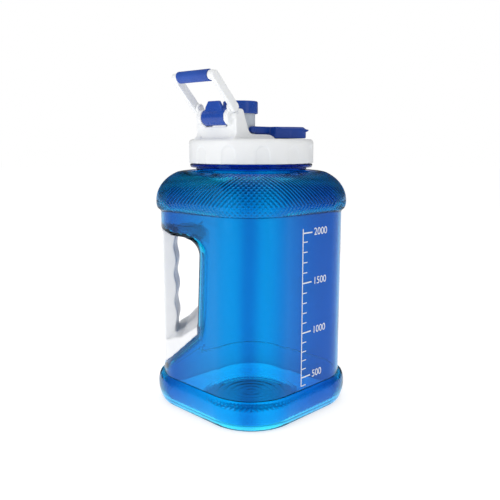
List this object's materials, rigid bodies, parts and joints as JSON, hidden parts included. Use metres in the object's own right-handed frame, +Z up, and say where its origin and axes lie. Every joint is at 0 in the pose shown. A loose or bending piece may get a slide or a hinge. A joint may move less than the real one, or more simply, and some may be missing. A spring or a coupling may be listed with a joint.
{
  "type": "large water jug",
  "caption": "Large square water jug with a see-through body, side hand grip, screw cap, flip spout lid, port flap and carry loop.",
  "frame": {"origin": "on the ground, under the jug's vertical axis", "axes": "+Z up; the body's diagonals lie along X and Y, and the hand grip is in the corner at -X"},
  "size_m": [0.161, 0.161, 0.2714],
  "materials": {
    "bottle": "clear tinted blow-moulded copolyester, knurled bands",
    "grip": "semi-gloss moulded plastic",
    "cap": "semi-gloss moulded polypropylene",
    "spout": "natural moulded polypropylene",
    "lid": "semi-gloss moulded plastic, slightly see-through hood",
    "flap": "semi-gloss moulded plastic",
    "loop": "semi-gloss moulded polypropylene",
    "loop_grip": "soft overmould",
    "seal": "translucent silicone",
    "o_ring": "matte",
    "pin": "satin",
    "print": "screen-printed ink"
  },
  "bodies": {
    "jug": {"bottle_body": "bottle", "handle_grip": "grip"},
    "gasket": {"cap_gasket": "seal"},
    "cap": {"cap_shell": "cap", "spout": "spout", "spout_o_ring": "o_ring", "lid_pin": "pin"},
    "lid": {"spout_lid": "lid", "lid_seal": "seal"},
    "loop": {"carry_loop": "loop", "loop_grip": "loop_grip"},
    "flap": {"port_flap": "flap", "port_seal": "seal"}
  },
  "joints": [
    {"name": "cap_lift", "type": "slide", "parent": "jug", "child": "gasket", "axis": [0, 0, 1], "range_m": [0, 0.0091]},
    {"name": "cap_turn", "type": "hinge", "parent": "gasket", "child": "cap", "pos_m": [0, 0, 0.21], "axis": [0, 0, 1], "range_deg": [0, 540]},
    {"name": "lid_flip", "type": "hinge", "parent": "cap", "child": "lid", "pos_m": [-0.02635, -0.03141, 0.2383], "axis": [0.766, -0.6428, 0], "range_deg": [0, 58]},
    {"name": "loop_swing", "type": "hinge", "parent": "cap", "child": "loop", "pos_m": [-0.02796, -0.03332, 0.2455], "axis": [0.766, -0.6428, 0], "range_deg": [-45, 75]},
    {"name": "flap_flip", "type": "hinge", "parent": "cap", "child": "flap", "pos_m": [-0.01028, -0.01226, 0.2292], "axis": [0.766, -0.6428, 0], "range_deg": [0, 40]}
  ],
  "couplings": [
    {"joint": "cap_lift", "follows": "cap_turn", "m_per_rad": 0.00095493}
  ]
}
